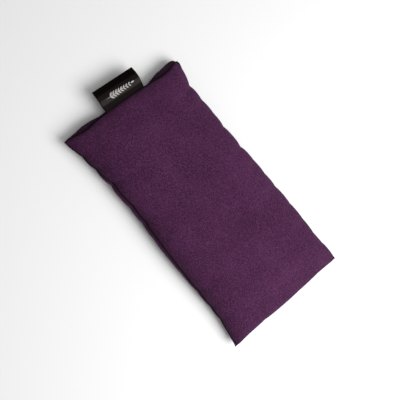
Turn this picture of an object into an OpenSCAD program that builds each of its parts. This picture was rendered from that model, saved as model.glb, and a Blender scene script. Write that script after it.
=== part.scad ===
// Eye pillow: two fabric panels sewn into a pouch around an inner bag of flax seed and lavender,
// with a folded label tape held in the seam of one end.
// +X runs along the pillow towards the foot end and the label is at -X; +Z is up from the face it rests on.

/* [Cover] */
// Length of the filled cover, from end seam to end seam
cover_length = 214; // [180:1:260]
// Width of the filled cover, from side seam to side seam
cover_width = 108; // [90:1:130]
// Height of the crown above the surface that the pillow rests on
crown_height = 24; // [18:0.5:30]
// Height of the seam above the surface that the pillow rests on
seam_height = 12; // [8:0.5:12]
// How far each long side is drawn in at its middle
side_waist = 2.5; // [0:0.5:6]
// How far each end is drawn in at its middle
end_waist = 2; // [0:0.5:5]
// Thickness of the brushed cover fabric
cover_fabric = 0.6; // [0.4:0.1:1]
// Width of the seam allowance turned in along every edge
seam_allowance = 8; // [6:1:12]

/* [Inner bag] */
// Gap between the inner bag and the cover at each end, where the seam allowance and the label's tails lie
end_clearance = 7; // [6:0.5:12]
// Thickness of the cotton of the inner bag
bag_fabric = 0.3; // [0.2:0.05:0.5]
// Width of the seam allowance turned in around the inner bag
bag_allowance = 5; // [4:1:8]
// Depth left above the flax seed for the lavender buds
bud_layer = 2.6; // [2.2:0.1:3]
// Diameter of one lavender bud
bud_diameter = 1.6; // [1:0.1:1.8]
// Length of one lavender bud
bud_length = 4; // [3:0.25:5]

/* [Label] */
// Width of the label tape, across the pillow
label_width = 38; // [25:1:45]
// How far the folded tape stands out of the seam
label_reach = 20; // [12:1:28]
// How far the middle of the label lies from the middle of the end seam, towards the right side (+Y)
label_offset = 2.5; // [-10:0.5:10]
// Thickness of the label tape
tape = 0.25; // [0.15:0.05:0.3]
// Height of the woven motif above the tape
motif_relief = 0.15; // [0.1:0.05:0.3]

/* [Stitching] */
// Length of one stitch in the cover's seams
stitch_pitch = 3; // [2.5:0.25:5]
// Length of one stitch in the inner bag's seam
bag_stitch_pitch = 5; // [4:0.5:8]
// Diameter of the sewing thread
thread = 0.4; // [0.3:0.05:0.5]

/* [Hidden] */

// Half sizes of the cover, and the crown above the seam.
half_length = cover_length / 2;
half_width = cover_width / 2;
front_rise = crown_height - seam_height;
// How far the back would sag below the seam if the surface under it didn't stop it and flatten it.
back_drop = seam_height * 1.35;

// Half of the gap between the front and back panels, which the two layers of tape fill at the label.
seam_gap = tape + 0.05;
// Half of the gap between the two halves of the inner bag.
bag_gap = 0.05;
// Slack between one layer and the next.
layer_slack = 0.3;
bag_inset = 2 * cover_fabric + layer_slack;
filling_inset = bag_inset + 2 * bag_fabric + layer_slack;

// Rows and columns of each sheet's grid.
rows = 32;
columns = 18;

// Fullness of the pillow from its middle (t = 0) to its seam (t = 1), plump until close to the seam.
function fullness(t) = sqrt(max(0, 1 - pow(abs(t), 4)));
// Grid position i of n, from -1 to 1, closer together near the seams.
function spaced(i, n) = i == 0 ? -1 : i == n ? 1 : sin(180 * i / n - 90);
// What is inside the cover is shorter than it by this much at each end.
function shorter(inset) = inset < bag_inset ? 0 : end_clearance;
// Plan position of a point of the pillow, whose outline is inset all round.
function plan_x(u, v, inset) = u * (half_length - inset - shorter(inset) - end_waist * (1 - v * v));
function plan_y(u, v, inset) = v * (half_width - inset - side_waist * (1 - u * u));

// A point of the front (side = 1) or back (side = -1) surface that is inset from the cover's outside.
function surface_point(u, v, side, inset, gap, lowered = 0) =
    let (swell = fullness(u) * fullness(v))
    [
        plan_x(u, v, inset),
        plan_y(u, v, inset),
        side > 0
            ? seam_height + gap + (front_rise - gap - inset - lowered) * swell
            : max(inset, seam_height - gap - (back_drop - gap - inset) * swell)
    ];

// The grid's points, one row of v for each u.
function sheet_points(side, inset, gap, lowered = 0) = [
    for (i = [0:rows], j = [0:columns])
        surface_point(spaced(i, rows), spaced(j, columns), side, inset, gap, lowered)
];

// The same, but thicker by one layer of fabric within the allowance, where the turned-in edge lies.
function lined_points(side, inset, fabric, gap, allowance) = [
    for (i = [0:rows], j = [0:columns])
        let (
            u = spaced(i, rows),
            v = spaced(j, columns),
            from_edge = min(half_length * (1 - abs(u)), half_width * (1 - abs(v))),
            layers = from_edge < allowance ? 2 : 1
        )
        surface_point(u, v, side, inset + layers * fabric, gap)
];

function corner(i, j) = i * (columns + 1) + j;
// The two triangles of each cell meet along the diagonal that points at the nearest corner of the pillow.
function grid_faces(offset, flip) = [
    for (i = [0:rows - 1], j = [0:columns - 1], half = [0, 1])
        let (
            a = offset + corner(i, j),
            b = offset + corner(i, j + 1),
            c = offset + corner(i + 1, j + 1),
            d = offset + corner(i + 1, j),
            same_side = (i < rows / 2) == (j < columns / 2),
            face = same_side
                ? (half == 0 ? [a, b, c] : [a, c, d])
                : (half == 0 ? [a, b, d] : [b, c, d])
        )
        flip ? [face[2], face[1], face[0]] : face
];

// The grid's border as one closed list of point numbers.
border = concat(
    [for (i = [0:rows - 1]) corner(i, 0)],
    [for (j = [0:columns - 1]) corner(rows, j)],
    [for (i = [rows:-1:1]) corner(i, columns)],
    [for (j = [columns:-1:1]) corner(0, j)]
);
function border_faces(count) = [
    for (k = [0:len(border) - 1], half = [0, 1])
        let (
            a = border[k],
            b = border[(k + 1) % len(border)]
        )
        half == 0 ? [a, b, count + b] : [a, count + b, count + a]
];

// A closed solid between two grids of points, the first one above the second.
module between(upper, lower) {
    count = len(upper);
    polyhedron(
        points = concat(upper, lower),
        faces = concat(grid_faces(0, false), grid_faces(count, true), border_faces(count))
    );
}

// One panel: a shell of fabric whose turned-in allowance doubles it along the seam.
module panel(side, inset, fabric, gap, allowance) {
    outside = sheet_points(side, inset, gap);
    inside = lined_points(side, inset, fabric, gap, allowance);
    if (side > 0)
        between(outside, inside);
    else
        between(inside, outside);
}

cover_colour = "#4B2749";
bag_colour = "#E9E0CC";
tape_colour = "#15130F";
yarn_colour = "#B9B6AE";

module front_panel() {
    color(cover_colour)
        panel(1, 0, cover_fabric, seam_gap, seam_allowance);
}

module back_panel() {
    color(cover_colour)
        panel(-1, 0, cover_fabric, seam_gap, seam_allowance);
}

// The stretch of thread that crosses the seam at one stitch, from inside one panel's edge to the other's.
module stitch(u, v, inset, gap) {
    reach = gap + thread;
    translate([plan_x(u, v, inset), plan_y(u, v, inset), seam_height - reach])
        cylinder(h = 2 * reach, d = thread, $fn = 16);
}

// Stitches are set in the middle of the two layers of fabric at a panel's edge.
cover_stitch_inset = cover_fabric;
bag_stitch_inset = bag_inset + bag_fabric;
// The last stitch stops this share of the half size short of the corner.
corner_margin = 0.97;

// A row of stitches along a long side: side = -1 is the left side (-Y), 1 the right side.
module side_row(side, inset, gap, pitch) {
    count = floor(cover_length * corner_margin / pitch);
    for (k = [0:count])
        stitch(corner_margin * (2 * k / count - 1), side, inset, gap);
}

// A row of stitches across an end: side = -1 is the label end (-X), 1 the foot end.
module end_row(side, inset, gap, pitch) {
    count = floor(cover_width * corner_margin / pitch);
    for (k = [0:count])
        stitch(side, corner_margin * (2 * k / count - 1), inset, gap);
}

module left_side_stitches() {
    color(cover_colour)
        side_row(-1, cover_stitch_inset, seam_gap, stitch_pitch);
}

module right_side_stitches() {
    color(cover_colour)
        side_row(1, cover_stitch_inset, seam_gap, stitch_pitch);
}

module foot_end_stitches() {
    color(cover_colour)
        end_row(1, cover_stitch_inset, seam_gap, stitch_pitch);
}

module closing_stitches() {
    color(cover_colour)
        end_row(-1, cover_stitch_inset, seam_gap, stitch_pitch);
}

module inner_bag_front() {
    color(bag_colour)
        panel(1, bag_inset, bag_fabric, bag_gap, bag_allowance);
}

module inner_bag_back() {
    color(bag_colour)
        panel(-1, bag_inset, bag_fabric, bag_gap, bag_allowance);
}

module inner_bag_stitches() {
    color(bag_colour)
        for (side = [-1, 1]) {
            side_row(side, bag_stitch_inset, bag_gap, bag_stitch_pitch);
            end_row(side, bag_stitch_inset, bag_gap, bag_stitch_pitch);
        }
}

// The loose seed as one mass that fills the inner bag up to the layer of buds.
module flaxseed_filling() {
    color("#7A4A22")
        between(
            sheet_points(1, filling_inset, bag_gap, bud_layer),
            sheet_points(-1, filling_inset, bag_gap)
        );
}

// One bud, lying along X with a round calyx at each end.
module bud() {
    half_straight = (bud_length - bud_diameter) / 2;
    rotate([0, 90, 0])
        cylinder(h = 2 * half_straight, d = bud_diameter, center = true, $fn = 24);
    for (end = [-1, 1])
        translate([end * half_straight, 0, 0])
            sphere(d = bud_diameter, $fn = 24);
}

// Buds lie scattered on the seed, in the part of the bag where the layer is at its full depth.
bud_rows = 11;
bud_columns = 6;
bud_spread_x = 0.66;
bud_spread_y = 0.6;
scatter = rands(-1, 1, 3 * bud_rows * bud_columns, 11);

module lavender_buds() {
    color("#6F6691")
        for (i = [0:bud_rows - 1], j = [0:bud_columns - 1]) {
            k = 3 * (i * bud_columns + j);
            u = bud_spread_x * (2 * i / (bud_rows - 1) - 1 + 0.06 * scatter[k]);
            v = bud_spread_y * (2 * j / (bud_columns - 1) - 1 + 0.1 * scatter[k + 1]);
            under = surface_point(u, v, 1, filling_inset, bag_gap, bud_layer);
            over = surface_point(u, v, 1, bag_inset + bag_fabric, bag_gap);
            translate([under[0], under[1], (under[2] + over[2]) / 2])
                rotate([0, 0, 25 * scatter[k + 2]])
                    bud();
        }
}

// Where the end seam lies under the label's outermost edge, and the line that the tape bends on.
label_v = (label_width / 2 + abs(label_offset)) / half_width;
label_seam_x = -(half_length - end_waist * (1 - label_v * label_v));
bend_x = label_seam_x - 0.6;
tail_end_x = bend_x + 0.35;
tail_length = 7;
loop_start_x = bend_x - 0.5;
loop_gap = 0.2;
loop_half = loop_gap / 2 + tape;
loop_end_x = bend_x - label_reach;

// Profile of the folded tape: two layers joined by a round fold at the outer end.
module loop_profile() {
    fold_x = loop_end_x + loop_half;
    difference() {
        union() {
            translate([fold_x, -loop_half])
                square([loop_start_x - fold_x, 2 * loop_half]);
            translate([fold_x, 0])
                circle(r = loop_half, $fn = 32);
        }
        translate([fold_x, -loop_gap / 2])
            square([loop_start_x - fold_x + 1, loop_gap]);
        translate([fold_x, 0])
            circle(r = loop_gap / 2, $fn = 32);
    }
}

module label_tape() {
    color(tape_colour)
        translate([0, label_offset + label_width / 2, seam_height])
            rotate([90, 0, 0])
                linear_extrude(height = label_width)
                    loop_profile();
}

// The tape's two ends, one on the other, sewn between the panels.
module label_tails() {
    color(tape_colour)
        translate([tail_end_x, label_offset - label_width / 2, seam_height - tape])
            cube([tail_length, label_width, 2 * tape]);
}

// A leaf or bud of the motif: the lens where two circles meet, pointed at both ends along X.
module leaf(length, width) {
    radius = (length * length + width * width) / (4 * width);
    intersection_for (side = [-1, 1])
        translate([0, side * (radius - width / 2)])
            circle(r = radius, $fn = 96);
}

// A plain sprig of lavender along the tape, woven in pale yarn.
motif_length = 25;
stem_width = 0.6;
leaf_count = 6;
module sprig() {
    leaf_step = motif_length / (leaf_count + 1.5);
    translate([-stem_width / 2, -motif_length / 2])
        square([stem_width, motif_length]);
    for (k = [0:leaf_count - 1], side = [-1, 1])
        translate([side * 1.7, -motif_length / 2 + leaf_step * (k + 0.9) + 0.8])
            rotate(90 - side * 48)
                leaf(3.9 - 0.25 * k, 1.5);
    translate([0, motif_length / 2 + 0.6])
        rotate(90)
            leaf(4, 1.7);
}

module label_motif() {
    color(yarn_colour)
        translate([bend_x - label_reach * 0.45, label_offset, seam_height + loop_half])
            linear_extrude(height = motif_relief)
                sprig();
}

front_panel();
back_panel();
left_side_stitches();
right_side_stitches();
foot_end_stitches();
closing_stitches();
label_tape();
label_tails();
label_motif();
inner_bag_front();
inner_bag_back();
inner_bag_stitches();
flaxseed_filling();
lavender_buds();
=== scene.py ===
"""Eye pillow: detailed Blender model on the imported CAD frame."""

import math

import bpy
import numpy as np
from mathutils import Matrix, Vector


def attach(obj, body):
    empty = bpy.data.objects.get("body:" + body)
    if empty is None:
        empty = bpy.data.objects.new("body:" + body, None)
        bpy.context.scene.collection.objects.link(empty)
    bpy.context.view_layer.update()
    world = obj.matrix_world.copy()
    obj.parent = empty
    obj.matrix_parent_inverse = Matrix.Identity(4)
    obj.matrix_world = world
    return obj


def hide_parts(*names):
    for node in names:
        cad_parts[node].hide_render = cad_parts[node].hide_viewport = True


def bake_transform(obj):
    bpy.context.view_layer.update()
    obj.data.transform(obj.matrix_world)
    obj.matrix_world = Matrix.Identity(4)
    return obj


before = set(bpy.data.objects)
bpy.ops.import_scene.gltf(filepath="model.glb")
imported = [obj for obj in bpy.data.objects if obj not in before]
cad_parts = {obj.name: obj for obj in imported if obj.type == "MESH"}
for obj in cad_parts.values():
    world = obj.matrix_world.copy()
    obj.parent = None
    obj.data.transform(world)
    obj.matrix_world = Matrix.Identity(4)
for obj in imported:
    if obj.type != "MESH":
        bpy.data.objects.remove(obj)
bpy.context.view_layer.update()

MM = 0.001
UP = np.array([0, 0, 1])
scene = bpy.context.scene

# ------------------------------------------------------------------------------------------------
# Camera: almost overhead, tilted towards the label end and the left side, and turned so that the
# long sides run down the picture
# ------------------------------------------------------------------------------------------------
LENS_MM, SENSOR_MM = 60.0, 36.0
CLIP = (0.01, 10)
TARGET = Vector((-0.00592, -0.00152, 0.010))
DISTANCE = 0.5399
AZIMUTH = math.radians(220.0)
TILT = math.radians(12.0)
ROLL = math.radians(49.62)


def add_camera():
    lean = math.sin(TILT)
    back = Vector((lean * math.cos(AZIMUTH), lean * math.sin(AZIMUTH), math.cos(TILT)))
    level = Vector((0, 1, 0)).cross(back).normalized()
    upright = back.cross(level)
    c, s = math.cos(ROLL), math.sin(ROLL)
    right, up = c * level + s * upright, -s * level + c * upright
    data = bpy.data.cameras.new("camera")
    data.lens, data.sensor_width = LENS_MM, SENSOR_MM
    data.clip_start, data.clip_end = CLIP
    cam = bpy.data.objects.new("camera", data)
    turn = Matrix((right, up, back)).transposed().to_4x4()
    cam.matrix_world = Matrix.Translation(TARGET + back * DISTANCE) @ turn
    scene.collection.objects.link(cam)
    scene.camera = cam


add_camera()

# ------------------------------------------------------------------------------------------------
# Mesh helpers. Lengths are in mm up to make_mesh.
# ------------------------------------------------------------------------------------------------


def smoothstep(a, b, x):
    """0 at a and before it, 1 at b and past it, and smooth between; b may be the smaller."""
    t = np.clip((np.asarray(x, float) - a) / (b - a), 0, 1)
    return t * t * (3 - 2 * t)


def ease(x, xs, ys):
    """Smooth curve through the points (xs, ys), by monotone cubic pieces."""
    x = np.asarray(x, float)
    xs, ys = np.asarray(xs, float), np.asarray(ys, float)
    h = np.diff(xs)
    d = np.diff(ys) / h
    m = np.zeros_like(ys)
    m[0], m[-1] = d[0], d[-1]
    for i in range(1, len(xs) - 1):
        m[i] = 0 if d[i - 1] * d[i] <= 0 else 2 * d[i - 1] * d[i] / (d[i - 1] + d[i])
    k = np.clip(np.searchsorted(xs, x) - 1, 0, len(h) - 1)
    t = (x - xs[k]) / h[k]
    return ((2 * t ** 3 - 3 * t ** 2 + 1) * ys[k] + (t ** 3 - 2 * t ** 2 + t) * h[k] * m[k]
            + (-2 * t ** 3 + 3 * t ** 2) * ys[k + 1] + (t ** 3 - t ** 2) * h[k] * m[k + 1])


def make_mesh(name, verts_mm, faces):
    me = bpy.data.meshes.new(name)
    verts = [tuple(v) for v in np.asarray(verts_mm, float) * MM]
    me.from_pydata(verts, [], [tuple(f) for f in faces])
    me.validate()
    me.update()
    me.shade_smooth()
    ob = bpy.data.objects.new(name, me)
    scene.collection.objects.link(ob)
    return ob


def declare(ob, node, body="pillow"):
    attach(ob, body)
    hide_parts(node)
    return ob


def outward(grid, up):
    """Unit normals of a grid, pointing out of the pillow; up is 1 for a front, -1 for a back."""
    n = np.cross(np.gradient(grid, axis=0), np.gradient(grid, axis=1)) * up
    return n / np.maximum(np.linalg.norm(n, axis=-1, keepdims=True), 1e-9)


def border_loop(n, m, offset=0):
    """Indices of the points round the border of an n by m grid."""
    idx = np.arange(n * m).reshape(n, m) + offset
    return np.concatenate([idx[:-1, 0], idx[-1, :-1], idx[:0:-1, -1], idx[0, :0:-1]])


def grid_quads(n, m, offset, flip):
    idx = np.arange(n * m).reshape(n, m) + offset
    q = np.stack([idx[:-1, :-1], idx[1:, :-1], idx[1:, 1:], idx[:-1, 1:]], -1).reshape(-1, 4)
    return q[:, ::-1] if flip else q


def sheet_faces(n, m, upward):
    """Faces of a closed sheet: n by m outer points, as many inner ones, and a rim between them."""
    faces = grid_quads(n, m, 0, not upward).tolist() + grid_quads(n, m, n * m, upward).tolist()
    a, b = border_loop(n, m), border_loop(n, m, n * m)
    rim = zip(a, np.roll(a, -1), np.roll(b, -1), b)
    return faces + [f[::-1] if upward else f for f in rim]


def sheet_solid(name, outer, inner, upward):
    """A closed sheet between two grids of the same size; upward if the outer one faces up."""
    points = np.concatenate([outer.reshape(-1, 3), inner.reshape(-1, 3)])
    return make_mesh(name, points, sheet_faces(*outer.shape[:2], upward))


# ------------------------------------------------------------------------------------------------
# The cover's shape, as a formula. Positions on it are u (label end to foot end) and v (left to
# right), and positions along a side are t, all from 0 to 1.
# ------------------------------------------------------------------------------------------------
CORNERS = {
    "A": np.array([-109.9, -55.9, 10.0]),
    "B": np.array([-105.9, 55.4, 9.5]),
    "C": np.array([108.9, 57.8, 6.5]),
    "D": np.array([107.9, -55.9, 7.5]),
}
# Each side: its end corners, its outward direction and, at each t, how far the seam is drawn in,
# how far it lies above the line between its corners, and how far each panel bulges out past it.
SIDES = {
    "left": {
        "ends": ("A", "D"), "out": (0, -1),
        "t": [0, .05, .15, .25, .35, .5, .6, .72, .85, .93, 1],
        "inset": [0, 2.6, 6.0, 8.8, 9.4, 7.8, 6.9, 6.6, 5.8, 3.6, 0],
        "rise": [0, 1.2, 3.0, 4.4, 5.0, 5.5, 5.2, 4.4, 2.8, 1.4, 0],
        "front": [0, 0, 0, 0, 0, 0, 0, 0, 0, 0, 0],
        "back": [0, 1.4, 2.6, 4.4, 4.4, 4.1, 3.6, 3.0, 2.2, 1.5, 0],
    },
    "right": {
        "ends": ("B", "C"), "out": (0, 1),
        "t": [0, .05, .12, .22, .32, .44, .6, .75, .87, .95, 1],
        "inset": [0, 1.5, 3.9, 4.7, 4.9, 3.8, 2.9, 1.9, 1.5, .1, 0],
        "rise": [0, -.4, -.9, -1.2, -1.4, -1.3, -1.0, -.6, -.3, -.1, 0],
        "front": [0, 0, .6, 1.6, 2.2, 2.3, 2.3, 2.0, 1.2, .6, 0],
        "back": [0, 0, .5, 1.1, 1.6, 1.8, 1.6, 1.2, .7, .3, 0],
    },
    "foot": {
        "ends": ("D", "C"), "out": (1, 0),
        "t": [0, .05, .1, .25, .5, .8, .92, 1],
        "inset": [0, .3, .9, 1.9, 1.6, 1.7, .8, 0],
        "rise": [0, .1, .2, .4, .5, .4, .2, 0],
        "front": [0, 0, .2, 1.4, 1.9, 1.4, .4, 0],
        "back": [0, 0, .2, 1.2, 1.5, 1.2, .4, 0],
    },
    "label": {
        "ends": ("A", "B"), "out": (-1, 0),
        "t": [0, .06, .17, .32, .5, .7, .83, .9, .95, 1],
        "inset": [0, 1.65, 3.5, 2.3, 2.5, 3.6, 4.9, 4.7, 3.0, 0],
        "rise": [0, .8, 2.2, 2.6, 2.5, 2.6, 2.5, 2.0, 1.2, 0],
        "front": [0, 0, 0, 0, 0, 0, 0, 0, 0, 0],
        "back": [0, 3.2, 7.0, 3.2, 2.2, 2.0, 7.0, 7.8, 5.6, 0],
    },
}
# Puckers along each side: how far from its first corner each lies, and how deep it is.
PUCKERS = {
    "left": [(18, 1.0), (32, 1.2), (49, 1.7), (72, .9), (88, .9), (104, .4), (126, .2), (141, .3),
             (160, .7), (177, .9), (191, .8)],
    "right": [(23.5, 1.8), (38, .9), (53, .4), (66, 1.2), (87.5, 1.6), (103, .4), (118, .6),
              (132, .9), (151, .7), (168, .4), (184, .4), (195, .4)],
    "foot": [(33, .5), (71, .2), (93, .2)],
    "label": [(22, .3), (34, .4), (79, .5), (94, .3)],
}
PUCKER_TIP, PUCKER_FADE = .9, 3.2  # how round a pucker's bottom is, and how far it fades sideways
PUCKER_MEAN = .25  # taken off the puckers, so that the outline keeps its mean place
PUCKER_REACH = 11.0  # how far up the panels a pucker draws the cloth in
PUCKER_CLEAR = .04  # the part of t at each corner over which puckers fade out
VALLEY_DEPTH, VALLEY_END, VALLEY_FADE = 1.4, 26.0, 9.0  # the valley that runs in from a pucker

FLAT_LENGTH, FLAT_WIDTH = 217.0, 109.0  # the surface's size, for distances from its edges
CROWN = 23.2  # height of the middle of the front
SQUARENESS_U, SQUARENESS_V = 4.0, 3.1  # of the front's and the back's profile each way
LUMP_HEIGHT, LUMP_SEED = 0.42, 3
LUMP_WAVES, LUMP_SHORTEST, LUMP_LONGEST = 9, 22, 60
FLOOR_CLEARANCE = 0.05
BED_STEEPNESS = 1.35  # how much faster than the front rises the back comes down to its flat bed
BED_EDGE = 1.6  # how softly it meets the bed
BULGE_REACH = 9.0  # how far from the seam a panel bulges
BULGE_LEAN = 0.8  # below 1, a bulge is fullest nearer to the seam than halfway up

GROOVE = 0.8  # depth of the groove between the two panels at the seam
LIP = 1.1  # how far up each panel the roll into the groove reaches
GROOVE_CLEAR = .02  # the part of t at each corner over which the groove fades out
SEAM_GAP = 0.12
# The part of the label end's seam, as t, where the tape comes out; how far each panel opens there;
# and how far up the panels that reaches.
LABEL_OPENING = (0.345, 0.700)
LABEL_LIFT = 0.34
LABEL_LIFT_REACH = 1.5

# How far each corner's tip is drawn back on its diagonal, and over what length its sides bend.
ROUNDING = {"A": (0.4, 3.0), "B": (2.8, 8.0), "C": (0.2, 2.0), "D": (0.2, 2.0)}
# How far the bulk of the turned-in corner pushes the back panel out past the seam, and how far in
# from the tip that reaches.
CORNER_BULK = {"A": 0.7, "B": 1.8, "C": 0.2, "D": 0.2}
CORNER_BULK_REACH = 12
INWARD = {"A": (.707, .707), "B": (.707, -.707), "C": (-.707, -.707), "D": (-.707, .707)}


def pucker(side, t):
    """How deep the puckers are at t along a side."""
    a, b = SIDES[side]["ends"]
    along = t * np.linalg.norm((CORNERS[b] - CORNERS[a])[:2])
    return sum(depth * np.exp((PUCKER_TIP - np.hypot(along - at, PUCKER_TIP)) / PUCKER_FADE)
               for at, depth in PUCKERS[side])


def seam(side, t):
    """The seam at t along a side, without its puckers."""
    t = np.asarray(t, float)
    shape = SIDES[side]
    a, b = (CORNERS[corner] for corner in shape["ends"])
    shift = -ease(t, shape["t"], shape["inset"])
    rise = ease(t, shape["t"], shape["rise"])
    out = shape["out"]
    return a + (b - a) * t[..., None] + np.stack([out[0] * shift, out[1] * shift, rise], -1)


def fullness(a, power):
    """0 at both edges and 1 in the middle; a higher power gives squarer shoulders."""
    return np.sqrt(np.clip(1 - np.abs(2 * a - 1) ** power, 0, 1))


def lumps(x, y):
    """Slow, shallow unevenness of loose seed under the cloth, about -1 to 1."""
    waves = np.random.default_rng(LUMP_SEED)
    total = np.zeros_like(x)
    for _ in range(LUMP_WAVES):
        angle = waves.uniform(0, np.pi)
        length = waves.uniform(LUMP_SHORTEST, LUMP_LONGEST)
        phase = waves.uniform(0, 2 * np.pi)
        total += np.sin(2 * np.pi * (x * np.cos(angle) + y * np.sin(angle)) / length + phase)
    return total / (LUMP_WAVES / 2)


def surface(uu, vv, front):
    """Points of the cover's front, or else of its back, at uu and vv."""
    u, v = uu[..., None], vv[..., None]
    p = ((1 - v) * seam("left", uu) + v * seam("right", uu)
         + (1 - u) * seam("label", vv) + u * seam("foot", vv)
         - ((1 - u) * (1 - v) * CORNERS["A"] + (1 - u) * v * CORNERS["B"]
            + u * v * CORNERS["C"] + u * (1 - v) * CORNERS["D"]))
    seam_z = p[..., 2].copy()
    swell = fullness(uu, SQUARENESS_U) * fullness(vv, SQUARENESS_V)
    if front:
        uneven = LUMP_HEIGHT * lumps(p[..., 0], p[..., 1]) * swell ** 2
        p[..., 2] = seam_z + (CROWN - seam_z) * swell + uneven
        climb = swell
    else:
        above_bed = seam_z * (1 - BED_STEEPNESS * swell) - FLOOR_CLEARANCE
        z = FLOOR_CLEARANCE + BED_EDGE * np.logaddexp(0, above_bed / BED_EDGE)
        p[..., 2] = np.where(swell < 1e-9, seam_z, np.minimum(z, seam_z))
        climb = np.clip(BED_STEEPNESS * swell, 0, 1)

    up = 1 if front else -1
    for side, t, mm in (("left", uu, vv * FLAT_WIDTH), ("right", uu, (1 - vv) * FLAT_WIDTH),
                        ("label", vv, uu * FLAT_LENGTH), ("foot", vv, (1 - uu) * FLAT_LENGTH)):
        from_corner = np.minimum(t, 1 - t)
        bulge = ease(t, SIDES[side]["t"], SIDES[side]["front" if front else "back"])
        notch = pucker(side, t)
        from_seam = np.hypot(mm, np.abs(p[..., 2] - seam_z))
        shift = bulge * np.sin(np.pi * climb ** BULGE_LEAN) * np.exp(-(mm / BULGE_REACH) ** 2)
        shift = shift - ((notch - PUCKER_MEAN) * np.exp(-mm / PUCKER_REACH)
                         * smoothstep(0, PUCKER_CLEAR, from_corner))
        shift = shift - (GROOVE * np.clip(1 - from_seam / LIP, 0, 1) ** 2
                         * smoothstep(0, GROOVE_CLEAR, from_corner))
        p[..., :2] += shift[..., None] * np.array(SIDES[side]["out"])
        valley = np.sin(np.pi * np.clip(mm / VALLEY_END, 0, 1)) * np.exp(-mm / VALLEY_FADE)
        p[..., 2] -= up * VALLEY_DEPTH * notch * valley
        if side == "label":
            start, end = LABEL_OPENING
            opening = smoothstep(start - .02, start, t) * (1 - smoothstep(end, end + .02, t))
            p[..., 2] += up * LABEL_LIFT * opening * np.exp(-from_seam / LABEL_LIFT_REACH)

    for corner, (tip, reach) in ROUNDING.items():
        from_tip = np.hypot((uu if corner in "AB" else 1 - uu) * FLAT_LENGTH,
                            (vv if corner in "AD" else 1 - vv) * FLAT_WIDTH)
        pull = tip * np.clip(1 - from_tip / reach, 0, 1) ** 2
        if not front:
            within = np.clip(from_tip / CORNER_BULK_REACH, 0, 1)
            pull = pull - CORNER_BULK[corner] * np.sin(np.pi * within ** BULGE_LEAN)
        p[..., :2] += pull[..., None] * np.array(INWARD[corner])
    p[..., 2] += up * SEAM_GAP / 2
    return p


EVEN_SHARE = .1


def spaced(n, inset=0.0):
    """n + 1 values from inset to 1 - inset, closer together towards both ends."""
    even = np.linspace(0, 1, n + 1)
    eased = (1 - np.cos(np.pi * even)) / 2
    return inset + (1 - 2 * inset) * (EVEN_SHARE * even + (1 - EVEN_SHARE) * eased)


# ------------------------------------------------------------------------------------------------
# Cover panels
# ------------------------------------------------------------------------------------------------
COVER_GRID = (240, 132)
FABRIC, THINNEST = 0.6, .03  # the cloth's thickness, and what it thins to at the seam
FULL_FROM_SEAM, THIN_TIP, FULL_FROM_TIP = 2.6, .5, 8  # where the cloth has its full thickness
MOST_OF_GAP = .4  # the most of the distance between front and back that a layer may take
BORDERS = (np.s_[:1], np.s_[-1:], np.s_[:, :1], np.s_[:, -1:])  # label end, foot end, left, right
# Painted shade in the cloth's colour: in the groove, where it turns down, along the left side, and
# in a wider strip beside the seam.
# A fade is the distance from the seam over which a shade dies away.
FRONT_GROOVE_FADE, BACK_GROOVE_FADE = 1.0, 1.1
TURNED_SHADE, TURNED_FROM, TURNED_TO = .6, .45, .05  # from one upward part of the normal to another
LEFT_SHADE, LEFT_FADE = .28, 9
BACK_SHADE, LABEL_END_SHADE, BACK_FADE = .16, .8, 7
LABEL_END_FROM, LABEL_END_TO = -88, -102


def cover_panel(name, node, front):
    uu, vv = np.meshgrid(*(spaced(count) for count in COVER_GRID), indexing="ij")
    outer, other = surface(uu, vv, front), surface(uu, vv, not front)
    from_borders = [np.linalg.norm(outer - outer[border], axis=-1) for border in BORDERS]
    from_seam, from_left = np.min(from_borders, axis=0), from_borders[2]
    from_tip = np.min([np.linalg.norm(outer - outer[i, j], axis=-1)
                       for i in (0, -1) for j in (0, -1)], axis=0)
    full = smoothstep(0, FULL_FROM_SEAM, from_seam) * smoothstep(THIN_TIP, FULL_FROM_TIP, from_tip)
    depth = THINNEST + FABRIC * full
    depth = np.minimum(depth, MOST_OF_GAP * np.linalg.norm(outer - other, axis=-1))
    up = 1 if front else -1
    normals = outward(outer, up)
    inner = outer - normals * depth[..., None]
    for border in BORDERS:
        inner[border] = outer[border] + UP * THINNEST * up
    ob = declare(sheet_solid(name, outer, inner, front), node)
    # Painted shade for the cloth's colour, kept per point: on the front in the groove, where the
    # cloth turns down and along the left side; on the back in a strip beside the seam, deepest at
    # the label end.
    if front:
        turned = smoothstep(TURNED_FROM, TURNED_TO, normals[..., 2])
        shade = (np.exp(-from_seam / FRONT_GROOVE_FADE) + TURNED_SHADE * turned
                 + LEFT_SHADE * np.exp(-from_left / LEFT_FADE))
    else:
        label_end = smoothstep(LABEL_END_FROM, LABEL_END_TO, outer[..., 0])
        shade = (np.exp(-from_seam / BACK_GROOVE_FADE)
                 + (BACK_SHADE + LABEL_END_SHADE * label_end) * np.exp(-from_seam / BACK_FADE))
    values = ob.data.attributes.new("seam_shade", "FLOAT", "POINT").data
    values.foreach_set("value", np.tile(shade.ravel(), 2).astype(np.float32))
    return ob


cover_front = cover_panel("cover_front", "front_panel", True)
cover_back = cover_panel("cover_back", "back_panel", False)

# ------------------------------------------------------------------------------------------------
# Inner bag, seed and lavender
# ------------------------------------------------------------------------------------------------
LAYER_GRID = (120, 66)
LAYER_OPENS = 10.0  # how far from its outline a layer reaches its full height
LAYER_PUSH = 2.0  # how far its middle moves in where front and back both lean outwards


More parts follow.
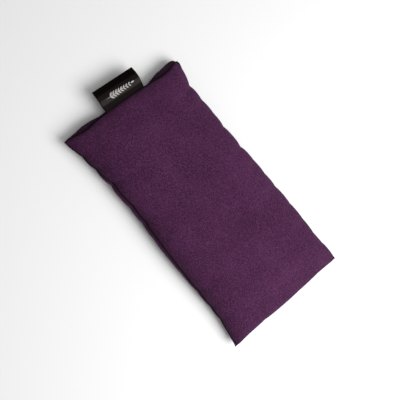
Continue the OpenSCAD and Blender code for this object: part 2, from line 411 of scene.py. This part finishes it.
def layer(side_inset, end_inset, depth, gap):
    """Front and back grids of a layer inside the cover: its outline is inset, its two grids are gap
    apart there, and further in they lie depth below the cover's surface."""
    uu, vv = np.meshgrid(spaced(LAYER_GRID[0], end_inset / FLAT_LENGTH),
                         spaced(LAYER_GRID[1], side_inset / FLAT_WIDTH), indexing="ij")
    f, b = surface(uu, vv, True), surface(uu, vv, False)
    nf, nb = outward(f, 1), outward(b, -1)
    d = np.minimum(depth, MOST_OF_GAP * np.linalg.norm(f - b, axis=-1))[..., None]
    middle = (f + b) / 2 - (nf + nb) * LAYER_PUSH
    edge = np.minimum(np.minimum(uu - uu.min(), uu.max() - uu) * FLAT_LENGTH,
                      np.minimum(vv - vv.min(), vv.max() - vv) * FLAT_WIDTH)
    opening = np.sqrt(1 - (1 - np.clip(edge / LAYER_OPENS, 0, 1)) ** 2)[..., None]
    lift = UP * (gap / 2) * (1 - opening)
    return (middle + (f - nf * d - middle) * opening + lift,
            middle + (b - nb * d - middle) * opening - lift)


def bag_panel(name, node, pick):
    outer = layer(side_inset=3.0, end_inset=8.0, depth=1.5, gap=.2)[pick]
    inner = layer(side_inset=3.3, end_inset=8.3, depth=1.8, gap=.1)[pick]
    return declare(sheet_solid(name, outer, inner, pick == 0), node)


bag_front = bag_panel("inner_bag_front_cotton", "inner_bag_front", 0)
bag_back = bag_panel("inner_bag_back_cotton", "inner_bag_back", 1)


def joined(name, verts, faces, copies):
    """One mesh of many copies of a shape; copies is a list of 4 x 4 matrices."""
    v = np.concatenate([verts @ m[:3, :3].T + m[:3, 3] for m in copies])
    f = [tuple(i + k * len(verts) for i in face) for k in range(len(copies)) for face in faces]
    return make_mesh(name, v, f)


def lathe(radii, heights, sides, ribs=0, rib_depth=0.0):
    """Points and faces of a turned shape along X with closed tips, its surface rippled by ribs."""
    turn = np.arange(sides) * 2 * np.pi / sides
    ripple = 1 + rib_depth * np.cos(ribs * turn)
    rings = [np.stack([np.full(sides, h), r * ripple * np.cos(turn), r * ripple * np.sin(turn)], -1)
             for r, h in zip(radii, heights)]
    tips = [[[heights[0] - radii[0] * .5, 0, 0]], [[heights[-1] + radii[-1] * .5, 0, 0]]]
    verts = np.concatenate([tips[0], *rings, tips[1]])
    faces, last = [], len(verts) - 1
    last_ring = 1 + (len(rings) - 1) * sides
    for j in range(sides):
        k = (j + 1) % sides
        faces.append((0, 1 + k, 1 + j))
        for a in range(1, last_ring, sides):
            faces.append((a + j, a + k, a + sides + k, a + sides + j))
        faces.append((last_ring + j, last_ring + k, last))
    return verts, faces


def scattered(grid, up, spacing, sink, seed):
    """Matrices that lay a shape flat on a grid's surface, about spacing apart, at many angles."""
    rng = np.random.default_rng(seed)
    normals = outward(grid, up)
    n, m = grid.shape[0] - 1, grid.shape[1] - 1
    step_u = np.linalg.norm(np.diff(grid, axis=0), axis=-1)[:, :-1]
    step_v = np.linalg.norm(np.diff(grid, axis=1), axis=-1)[:-1]
    area = step_u * step_v
    count = int(area.sum() / spacing ** 2)
    cells = rng.choice(n * m, size=count, p=(area / area.sum()).ravel(), replace=True)
    out = []
    for cell in cells:
        i, j = divmod(int(cell), m)
        a, b = rng.random(2)
        at = ((1 - a) * (1 - b) * grid[i, j] + a * (1 - b) * grid[i + 1, j]
              + (1 - a) * b * grid[i, j + 1] + a * b * grid[i + 1, j + 1])
        z = normals[i, j]
        x = np.cross(z, [np.sin(HEADING_STEP * cell), np.cos(HEADING_STEP * cell), .3])
        x /= np.linalg.norm(x)
        size = rng.uniform(SMALLEST, LARGEST)
        matrix = np.eye(4)
        matrix[:3, :3] = np.stack([x, np.cross(z, x), z], -1) * size
        matrix[:3, 3] = at - z * sink
        out.append(matrix)
    return out


FILL = layer(side_inset=6.0, end_inset=11.0, depth=3.1, gap=.4)
SEED_RADII, SEED_HEIGHTS = [.62, 1.05, 1.1, .7], [-1.75, -.7, .6, 1.7]
SEED_SIDES, SEED_FLATNESS = 6, .45
SEED_SPACING, SEED_SINK = 3.4, .05
BUD_RADII = [.3, .62, .78, .8, .66, .72, .45]
BUD_HEIGHTS = [-1.9, -1.3, -.5, .4, 1.2, 1.5, 1.9]
BUD_SIDES, BUD_RIBS, BUD_RIB_DEPTH = 16, 8, .09
BUD_SIZE = np.diag([1.0, .9, .6, 1.0])  # pressed flat among the seed
BUD_SPACING_FRONT, BUD_SPACING_BACK, BUD_SINK = 14.0, 16.0, -.15
SMALLEST, LARGEST = .9, 1.08  # of the sizes at which scattered shapes are drawn
HEADING_STEP = 9.1  # radians between one cell's heading and the next one's
BUDS_WITHIN = (90, 42)  # buds keep this near the middle, clear of the bag's edge


def filling():
    """The bed of flax seed, with single seeds lying all over its surface."""
    bed = sheet_solid("flaxseed", *FILL, True)
    verts, faces = lathe(SEED_RADII, SEED_HEIGHTS, SEED_SIDES)
    spots = (scattered(FILL[0], 1, SEED_SPACING, SEED_SINK, 11)
             + scattered(FILL[1], -1, SEED_SPACING, SEED_SINK, 12))
    seeds = joined("seeds", verts * [1, 1, SEED_FLATNESS], faces, spots)
    bpy.ops.object.select_all(action="DESELECT")
    seeds.select_set(True)
    bed.select_set(True)
    bpy.context.view_layer.objects.active = bed
    bpy.ops.object.join()
    return declare(bed, "flaxseed_filling")


def lavender():
    """Ribbed lavender buds on the seed."""
    verts, faces = lathe(BUD_RADII, BUD_HEIGHTS, BUD_SIDES, BUD_RIBS, BUD_RIB_DEPTH)
    spots = (scattered(FILL[0], 1, BUD_SPACING_FRONT, BUD_SINK, 21)
             + scattered(FILL[1], -1, BUD_SPACING_BACK, BUD_SINK, 22))
    spots = [m @ BUD_SIZE for m in spots
             if abs(m[0, 3]) < BUDS_WITHIN[0] and abs(m[1, 3]) < BUDS_WITHIN[1]]
    return declare(joined("lavender", verts, faces, spots), "lavender_buds")


flaxseed = filling()
buds = lavender()

# ------------------------------------------------------------------------------------------------
# Seams: short stitches laid along the seam lines
# ------------------------------------------------------------------------------------------------
THREAD_SIDES = 8
STITCH_RINGS = 9
STITCH_TIP, STITCH_BLUNTNESS = .12, .35  # how a stitch narrows to its ends
STITCH_TWIST = .5
FIRST_STITCH = .6  # where the first one starts, in pitches
SEAM_TRIM = .012  # the part of t at each corner without stitches
STITCH_INSET = .12  # how far inside the bottom of the groove the stitches lie


def stitch_line(name, node, path, pitch, length, thread):
    """Stitches of the given length and thickness every pitch along a path, as one mesh."""
    run = np.concatenate([[0], np.cumsum(np.linalg.norm(np.diff(path, axis=0), axis=-1))])
    where = np.arange(pitch * FIRST_STITCH, run[-1] - length, pitch)
    swell = np.sin(np.linspace(STITCH_TIP, np.pi - STITCH_TIP, STITCH_RINGS)) ** STITCH_BLUNTNESS
    radii = swell * thread / 2
    turn = np.arange(THREAD_SIDES) * 2 * np.pi / THREAD_SIDES
    verts, faces = [], []
    for start in where:
        at = start + np.linspace(0, length, STITCH_RINGS)
        points = np.stack([np.interp(at, run, path[:, k]) for k in range(3)], -1)
        along = points[-1] - points[0]
        along /= np.linalg.norm(along)
        side = np.cross(along, UP)
        side /= np.linalg.norm(side)
        lift = np.cross(side, along)
        first = len(verts)
        last = first + (STITCH_RINGS - 1) * THREAD_SIDES
        for k, (point, r) in enumerate(zip(points, radii)):
            for angle in turn + STITCH_TWIST * k:
                verts.append(point + r * (np.cos(angle) * side + np.sin(angle) * lift))
        for a in range(first, last, THREAD_SIDES):
            b = a + THREAD_SIDES
            for j in range(THREAD_SIDES):
                q = (j + 1) % THREAD_SIDES
                faces.append((a + q, a + j, b + j, b + q))
        faces.append(tuple(range(first, first + THREAD_SIDES)))
        faces.append(tuple(reversed(range(last, last + THREAD_SIDES))))
    return declare(make_mesh(name, np.array(verts), faces), node)


def seam_path(side):
    """A line just inside the bottom of the groove along one side."""
    t = np.linspace(SEAM_TRIM, 1 - SEAM_TRIM, 900)
    zero, one = np.zeros_like(t), np.ones_like(t)
    uu, vv = {"left": (t, zero), "right": (t, one), "label": (zero, t), "foot": (one, t)}[side]
    out = SIDES[side]["out"]
    middle = (surface(uu, vv, True) + surface(uu, vv, False)) / 2
    return middle - np.array([out[0], out[1], 0]) * STITCH_INSET


def cover_seam(name, node, side):
    return stitch_line(name, node, seam_path(side),
                       pitch=3.0, length=2.5, thread=.42)


def bag_seam():
    f, b = layer(side_inset=3.6, end_inset=8.6, depth=1.5, gap=.2)
    middle = (f + b) / 2
    loop = middle.reshape(-1, 3)[border_loop(*middle.shape[:2])]
    loop = np.concatenate([loop, loop[:1]])
    return stitch_line("inner_bag_seam", "inner_bag_stitches", loop,
                       pitch=5.0, length=3.4, thread=.4)


stitches = [
    cover_seam("left_seam", "left_side_stitches", "left"),
    cover_seam("right_seam", "right_side_stitches", "right"),
    cover_seam("foot_seam", "foot_end_stitches", "foot"),
    cover_seam("closing_seam", "closing_stitches", "label"),
]
bag_stitches = bag_seam()

# ------------------------------------------------------------------------------------------------
# Label: one length of satin tape, sewn in at both ends and folded at the far end, with a woven
# sprig. Places on it are q, the distance out from the seam, and s, from -1 to 1 across it.
# ------------------------------------------------------------------------------------------------
TAPE = 0.25  # thickness
TAPE_REACH = 19.0
TAPE_TAIL = 7.0
TAPE_HALF_WIDTH = 18.1
TAPE_BASE = np.array([-105.0, 2.2])
TAPE_OUT = np.array([-0.9958, 0.0918])
TAPE_ACROSS = np.array([0.0918, 0.9958])
TAPE_SIDE_BOW, TAPE_FLARE = .8, .5  # how its right side bows out, and how it widens to the fold
TAPE_LEVEL, TAPE_LEVELLING = 12.4, .55  # the height it nears towards its fold, and by what share
TAPE_WAVE = ([0, .12, .26, .4, .52, .68, 1], [0, -.2, -.1, .75, 1.3, 1.3, -.3])
TAPE_DROOP, TAPE_CURL = .8, .35  # of the fold's right end, and of both its ends
TAPE_COLUMNS, TAIL_ROWS, STRAND_ROWS, FOLD_ROWS = 49, 12, 60, 11
FOLD_START, FOLD_BULGE = .5, .9  # how far before the reach the fold starts, and how round it is
END_SEAM_Y = -55  # where the label end's seam starts


def tape_middle(q, s):
    """The surface halfway between the label's two strands."""
    q, s = np.broadcast_arrays(np.asarray(q, float), np.asarray(s, float))
    w = np.clip(q / TAPE_REACH, 0, 1)
    bow = TAPE_SIDE_BOW * np.sin(np.pi * w) * smoothstep(.2, 1, s)
    swing = TAPE_HALF_WIDTH * s + bow + TAPE_FLARE * w * s
    xy = TAPE_BASE + q[..., None] * TAPE_OUT + swing[..., None] * TAPE_ACROSS
    t = np.clip((xy[..., 1] - END_SEAM_Y) / FLAT_WIDTH, 0, 1)
    z = seam("label", t)[..., 2]
    z = z * (1 - TAPE_LEVELLING * w) + TAPE_LEVEL * TAPE_LEVELLING * w
    z = z + ease(w, *TAPE_WAVE)
    z = z - TAPE_DROOP * w * smoothstep(.1, 1, s) + TAPE_CURL * w * s ** 2
    return np.concatenate([xy, z[..., None]], -1)


def tape_gap(q):
    """Half the distance between the two strands' middles."""
    w = np.clip(q / TAPE_REACH, 0, 1)
    return .15 + .42 * np.sin(np.pi * w ** 1.3) ** 2 + .12 * w


def label():
    s = np.linspace(-1, 1, TAPE_COLUMNS)
    out = np.concatenate([np.linspace(-TAPE_TAIL, 0, TAIL_ROWS)[:-1],
                          np.linspace(0, TAPE_REACH - FOLD_START, STRAND_ROWS)])
    rows = [tape_middle(q, s) + UP * tape_gap(q) for q in out]
    end, fold = out[-1], tape_gap(out[-1])
    for turn in np.linspace(0, np.pi, FOLD_ROWS)[1:-1]:
        round_fold = tape_middle(end + FOLD_BULGE * fold * np.sin(turn), s)
        rows.append(round_fold + UP * fold * np.cos(turn))
    rows += [tape_middle(q, s) - UP * tape_gap(q) for q in out[::-1]]
    middle = np.stack(rows)
    half = -outward(middle, 1) * TAPE / 2
    ob = sheet_solid("label_ribbon", middle + half, middle - half, False)
    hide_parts("label_tape", "label_tails")
    return ob


ribbon = label()


def on_label(along, out, lift):
    """Point on the label's upper face: along across it, out from the seam and lift above it."""
    p = tape_middle(out, along / TAPE_HALF_WIDTH)
    p[..., 2] += tape_gap(out) + TAPE / 2 + lift
    return p


YARN_PITCH, YARN_SLANT = .42, .35  # of the satin stitches side by side


def satin_leaf(at, angle, length, width, height=.3, rows=19, columns=9):
    """A leaf of satin stitch as a low ribbed dome: points in on_label's terms, and faces."""
    a, b = np.meshgrid(np.linspace(0, 1, rows), np.linspace(-1, 1, columns), indexing="ij")
    half = width / 2 * np.sin(np.pi * np.clip(a, .03, .97) ** .85)
    x, y = a * length, b * half
    rib = .5 + .5 * np.cos(2 * np.pi * (a * length + YARN_SLANT * np.abs(y)) / YARN_PITCH)
    dome = np.sqrt(np.clip(1 - .85 * b ** 2, 0, 1)) * (.75 + .25 * rib)
    z = height * dome * np.sin(np.pi * np.clip(a, .04, .96)) ** .3
    c, s = math.cos(angle), math.sin(angle)
    top = np.stack([at[0] + c * x - s * y, at[1] + s * x + c * y, z - .04], -1)
    low = top.copy()
    low[..., 2] = -.06
    points = np.concatenate([top.reshape(-1, 3), low.reshape(-1, 3)])
    return points, sheet_faces(rows, columns, True)


SPRIG_CENTRE = (0.3, 8.6)
LEAF_PAIRS = 8
LEAF_PITCH = 2.4


def sprig():
    """A generic sprig: a stem along the label with paired leaves and a bud at its tip."""
    x, y = SPRIG_CENTRE
    parts = [satin_leaf((-12.6 + x, y - .3), .03, length=23.4, width=.6, height=.24, rows=76)]
    for k in range(LEAF_PAIRS):
        along = -8.7 + LEAF_PITCH * k + x
        size = 3.8 - .23 * k
        for turn in (1, -1):
            parts.append(satin_leaf((along, y + turn * .12), turn * .78, size, 1.35 - .05 * k))
    parts.append(satin_leaf((10.1 + x, y + .25), .03, length=3.1, width=1.25))
    verts, faces, count = [], [], 0
    for v, f in parts:
        verts.append(on_label(v[:, 0], v[:, 1], v[:, 2]))
        faces += [tuple(int(i) + count for i in face) for face in f]
        count += len(v)
    ob = make_mesh("woven_sprig", np.concatenate(verts), faces)
    return declare(ob, "label_motif", "label")


motif = sprig()
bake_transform(ribbon)

# ------------------------------------------------------------------------------------------------
# Materials
# ------------------------------------------------------------------------------------------------


class Shader:
    """A Principled material and the nodes that feed it; its patterns follow the object."""

    def __init__(self, name, **inputs):
        self.material = bpy.data.materials.new(name)
        self.material.use_nodes = True
        self.tree = self.material.node_tree
        self.base = self.tree.nodes["Principled BSDF"]
        for key, value in inputs.items():
            self.base.inputs[key.replace("_", " ")].default_value = value
        self.place = self.add("ShaderNodeTexCoord").outputs["Object"]

    def add(self, kind, inputs=(), **settings):
        """A node whose inputs are sockets to link or values to set."""
        node = self.tree.nodes.new(kind)
        for key, value in settings.items():
            setattr(node, key, value)
        for name, source in dict(inputs).items():
            if hasattr(source, "links"):
                self.tree.links.new(source, node.inputs[name])
            else:
                node.inputs[name].default_value = source
        return node

    def squeezed(self, scale):
        """The object's coordinates, scaled along each axis."""
        return self.add("ShaderNodeMapping", {"Vector": self.place, "Scale": scale}).outputs[0]

    def noise(self, scale, detail=3.0, rough=.55, where=None):
        inputs = {"Vector": where or self.place, "Scale": scale, "Detail": detail,
                  "Roughness": rough}
        return self.add("ShaderNodeTexNoise", inputs).outputs["Fac"]

    def cells(self, scale):
        """A random colour for each cell."""
        inputs = {"Vector": self.place, "Scale": scale}
        return self.add("ShaderNodeTexVoronoi", inputs).outputs["Color"]

    def sum(self, terms, offset=0.5):
        """offset plus the sum of weight * (value - 0.5)."""
        total = None
        for value, weight in terms:
            start = offset if total is None else 0
            inputs = {0: value, 1: weight, 2: start - .5 * weight}
            part = self.add("ShaderNodeMath", inputs, operation="MULTIPLY_ADD").outputs[0]
            if total is None:
                total = part
            else:
                total = self.add("ShaderNodeMath", {0: total, 1: part}).outputs[0]
        return total

    def colours(self, factor, stops):
        """Base colour from a factor through colour stops [(position, (r, g, b))]."""
        ramp = self.add("ShaderNodeValToRGB", {"Fac": factor})
        elements = ramp.color_ramp.elements
        elements[0].position, elements[0].color = stops[0][0], (*stops[0][1], 1)
        elements[1].position, elements[1].color = stops[-1][0], (*stops[-1][1], 1)
        for at, colour in stops[1:-1]:
            elements.new(at).color = (*colour, 1)
        self.tree.links.new(ramp.outputs["Color"], self.base.inputs["Base Color"])

    def roughness(self, factor, low, high):
        span = self.add("ShaderNodeMapRange", {"Value": factor, "To Min": low, "To Max": high})
        self.tree.links.new(span.outputs[0], self.base.inputs["Roughness"])

    def bump(self, height, strength, distance):
        inputs = {"Height": height, "Strength": strength, "Distance": distance}
        node = self.add("ShaderNodeBump", inputs)
        self.tree.links.new(node.outputs[0], self.base.inputs["Normal"])


PLUM_LOW = (.021, .0030, .017)
PLUM_MID = (.052, .0096, .046)
PLUM_HIGH = (.104, .031, .090)
# Painted shade: the deepest plum, where the seam shade is strongest, and how far that shade pulls
# the tone down.
PLUM_PAINTED_SHADE = tuple(.45 * c for c in PLUM_LOW)
PAINTED_SHADE_STRENGTH = -.75


def microfibre():
    """Brushed plum microfibre: cloudy nap, fine speckle, and painted shade at the seams and where
    the cloth turns down.
    """
    m = Shader("plum_microfibre", Specular_IOR_Level=.16, Sheen_Weight=.07, Sheen_Roughness=.5,
               Sheen_Tint=(.85, .6, .85, 1))
    clouds = m.noise(38, 4, .6)
    brushed = m.noise(500, 3, .6, m.squeezed((1, 2.6, 1)))
    speckle = m.noise(1600, 2, .7)
    fibres = m.noise(5200, 2, .5)
    tone = m.sum([(clouds, .42), (brushed, .9), (speckle, 2.1), (fibres, .4)])
    # Painted shade: the cover panels' per-point seam shade lowers the tone.
    shade = m.add("ShaderNodeAttribute", attribute_name="seam_shade").outputs["Fac"]
    painted_shading = {0: shade, 1: PAINTED_SHADE_STRENGTH, 2: tone}
    tone = m.add("ShaderNodeMath", painted_shading, operation="MULTIPLY_ADD").outputs[0]
    m.colours(tone, [(0, PLUM_PAINTED_SHADE), (.14, PLUM_LOW), (.5, PLUM_MID), (.9, PLUM_HIGH)])
    m.roughness(brushed, .78, .95)
    m.bump(m.sum([(speckle, .6), (fibres, .5), (brushed, .6)]), .35, .0003)
    return m.material


def satin():
    """Black woven satin: floats run out from the seam, and the tape shines along them."""
    m = Shader("satin_tape", Specular_IOR_Level=.06, Specular_Tint=(1, .83, .79, 1))
    floats = m.noise(900, 2, .5, m.squeezed((.25, 6, 1)))
    wear = m.noise(160, 3, .6)
    m.colours(m.sum([(floats, .9), (wear, .5)]),
              [(.2, (.0012, .0006, .0007)), (.8, (.0042, .0026, .0030))])
    m.roughness(m.sum([(floats, .5), (wear, .5)]), .14, .24)
    m.bump(floats, .25, .0001)
    return m.material


def yarn(name, colour, groove_shade_colour, scale=2600):
    """Twisted thread, with painted shade in its grooves."""
    m = Shader(name, Specular_IOR_Level=.35, Sheen_Weight=.2)
    twist = m.noise(scale, 2, .6, m.squeezed((1, .4, 1)))
    wear = m.noise(260, 2, .5)
    # Painted shade: the low parts of the twist, its grooves, take the shaded colour.
    m.colours(m.sum([(twist, .9), (wear, .4)]), [(.15, groove_shade_colour), (.7, colour)])
    m.roughness(twist, .45, .75)
    m.bump(twist, .4, .0001)
    return m.material


def calico():
    """Unbleached cotton, plain woven, with flecks."""
    m = Shader("calico", Specular_IOR_Level=.25)
    warp = m.noise(1000, 1, .5, m.squeezed((.2, 3, 1)))
    weft = m.noise(1000, 1, .5, m.squeezed((3, .2, 1)))
    flecks = m.noise(700, 4, .7)
    m.colours(m.sum([(warp, .6), (weft, .6), (flecks, .8)]),
              [(.15, (.46, .38, .27)), (.5, (.68, .61, .48)), (.85, (.80, .74, .62))])
    m.roughness(flecks, .8, .95)
    m.bump(m.sum([(warp, .5), (weft, .5)]), .5, .0002)
    return m.material


def flax():
    """Glossy brown seed; each cell of colour is about as big as a seed."""
    m = Shader("flax", Specular_IOR_Level=.5)
    grain = m.cells(420)
    streak = m.noise(2200, 2, .6)
    m.colours(m.sum([(grain, .9), (streak, .4)]),
              [(.1, (.06, .022, .008)), (.55, (.17, .07, .022)), (.95, (.36, .19, .07))])
    m.roughness(streak, .28, .45)
    return m.material


def dried_lavender():
    """Dull violet and grey-green buds."""
    m = Shader("dried_lavender", Specular_IOR_Level=.2)
    patch = m.noise(330, 3, .6)
    ribs = m.noise(3000, 2, .5)
    m.colours(m.sum([(patch, 1.2), (ribs, .5)]),
              [(.2, (.10, .11, .06)), (.5, (.12, .09, .17)), (.85, (.27, .20, .38))])
    m.roughness(ribs, .75, .95)
    m.bump(ribs, .4, .0001)
    return m.material


# Each thread's second colour is the painted shade in its grooves.
for objects, material in (
        ((cover_front, cover_back), microfibre()),
        (stitches, yarn("plum_thread", (.060, .018, .052), (.020, .005, .017))),
        ((ribbon,), satin()),
        ((motif,), yarn("silver_yarn", (.52, .51, .49), (.22, .215, .205), 3200)),
        ((bag_front, bag_back), calico()),
        ((bag_stitches,), yarn("cotton_thread", (.74, .68, .56), (.45, .40, .31))),
        ((flaxseed,), flax()),
        ((buds,), dried_lavender())):
    for ob in objects:
        ob.data.materials.clear()
        ob.data.materials.append(material)

# ------------------------------------------------------------------------------------------------
# Studio: a pale floor, white surroundings, a soft key light from the foot end and the right side,
# and a weaker, wider light overhead
# ------------------------------------------------------------------------------------------------
FLOOR_HALF = 3000
floor = make_mesh("studio_floor", [[x * FLOOR_HALF, y * FLOOR_HALF, 0] for x, y in
                                   ((-1, -1), (1, -1), (1, 1), (-1, 1))], [(0, 1, 2, 3)])
paper = bpy.data.materials.new("paper")
paper.use_nodes = True
paper_shader = paper.node_tree.nodes["Principled BSDF"]
paper_shader.inputs["Base Color"].default_value = (.86, .86, .86, 1)
paper_shader.inputs["Roughness"].default_value = .9
floor.data.materials.append(paper)

world = bpy.data.worlds.new("world")
scene.world = world
world.use_nodes = True
background = world.node_tree.nodes["Background"]
background.inputs["Color"].default_value = (1, 1, 1, 1)
background.inputs["Strength"].default_value = 0.2
scene.view_settings.view_transform = "Standard"


def area_light(name, at, size, power, shine=1.0):
    """A round light of the given width at a place, turned towards the object."""
    data = bpy.data.lights.new(name, "AREA")
    data.shape = "DISK"
    data.size = size
    data.energy = power
    data.specular_factor = shine
    ob = bpy.data.objects.new(name, data)
    ob.location = at
    ob.rotation_euler = (-Vector(at)).to_track_quat("-Z", "Y").to_euler()
    scene.collection.objects.link(ob)


area_light("key", (0.50, 0.24, 0.66), size=0.7, power=8.8)
area_light("fill", (0.05, 0.05, 1.6), size=1.2, power=6, shine=0.1)
